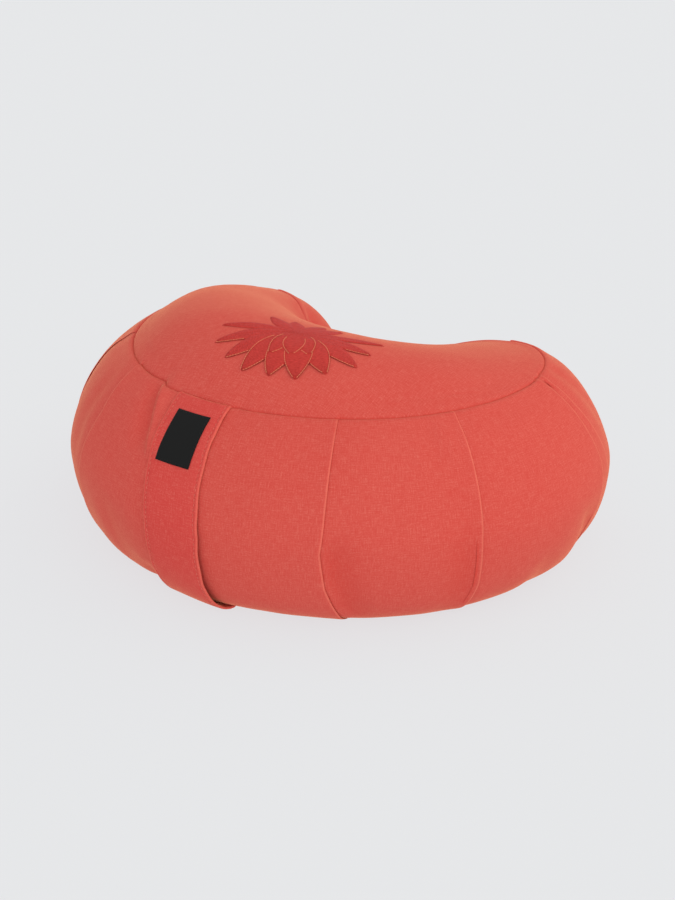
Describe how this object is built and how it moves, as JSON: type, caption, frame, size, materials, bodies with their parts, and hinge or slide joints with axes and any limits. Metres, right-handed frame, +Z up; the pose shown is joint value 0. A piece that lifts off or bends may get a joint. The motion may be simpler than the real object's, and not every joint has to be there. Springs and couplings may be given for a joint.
{
  "type": "crescent zafu meditation cushion",
  "caption": "Crescent-shaped filled meditation cushion with a pleated side band, a flat base, a carry strap and a blank woven label.",
  "frame": {"origin": "on the floor, under the middle of the crescent, midway between the convex side's seam and the notch's seam", "axes": "+Z up, -Y out of the convex side that carries the strap, +Y out of the notch, +X along the crescent's length"},
  "size_m": [0.4125, 0.3248, 0.1686],
  "materials": {
    "body_canvas": "matt plain-woven coral cotton canvas",
    "strap_canvas": "folded coral cotton canvas, topstitched along both edges",
    "label_weave": "plain black woven label"
  },
  "bodies": {
    "root": {"cushion_body": "body_canvas", "carry_strap": "strap_canvas", "woven_label": "label_weave"}
  },
  "joints": []
}
